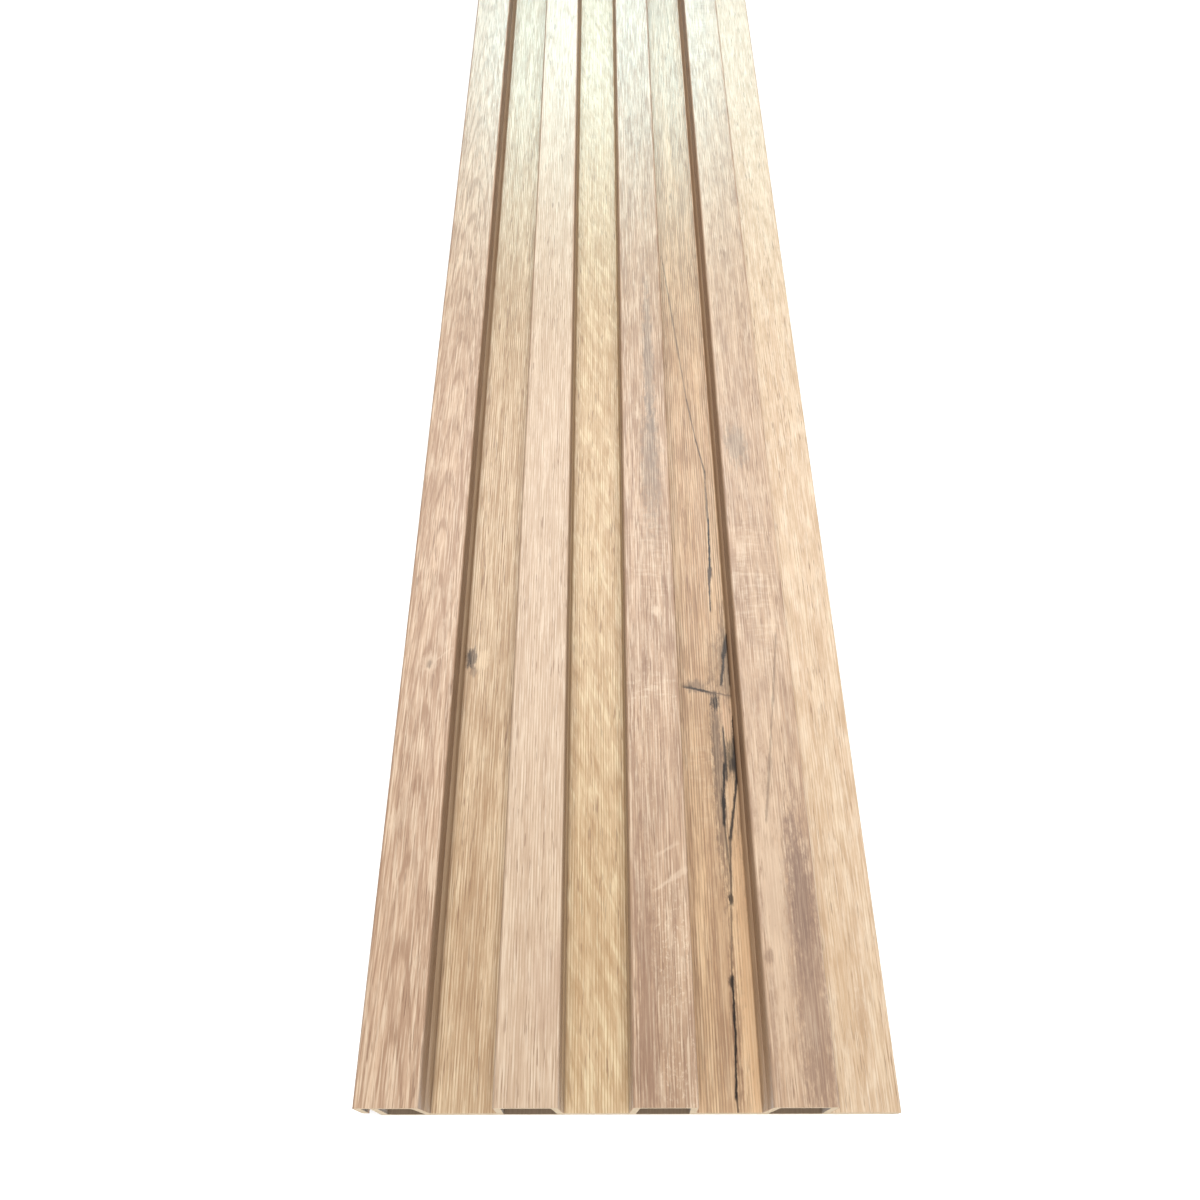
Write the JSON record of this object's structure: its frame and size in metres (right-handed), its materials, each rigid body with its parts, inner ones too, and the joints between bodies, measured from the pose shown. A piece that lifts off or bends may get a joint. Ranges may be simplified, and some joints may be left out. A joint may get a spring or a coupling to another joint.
{
  "type": "fluted composite wall panel",
  "caption": "Hollow extruded wall cladding panel with raised ribs, flat grooves, a fixing flange along one edge and a matching slot along the other, wrapped in wood-grain film",
  "frame": {"origin": "middle of the back of the panel, on the surface it lies on or is fixed to", "axes": "+Z out of the wall, towards the ribbed face; +Y along the panel; +X across it, towards the flange"},
  "size_m": [0.1599, 2.9, 0.024],
  "materials": {
    "wall_panel": "satin wood-grain film on the face, plain beige core on the ends, hollows and back"
  },
  "bodies": {
    "root": {"wall_panel": "wall_panel"}
  },
  "joints": []
}
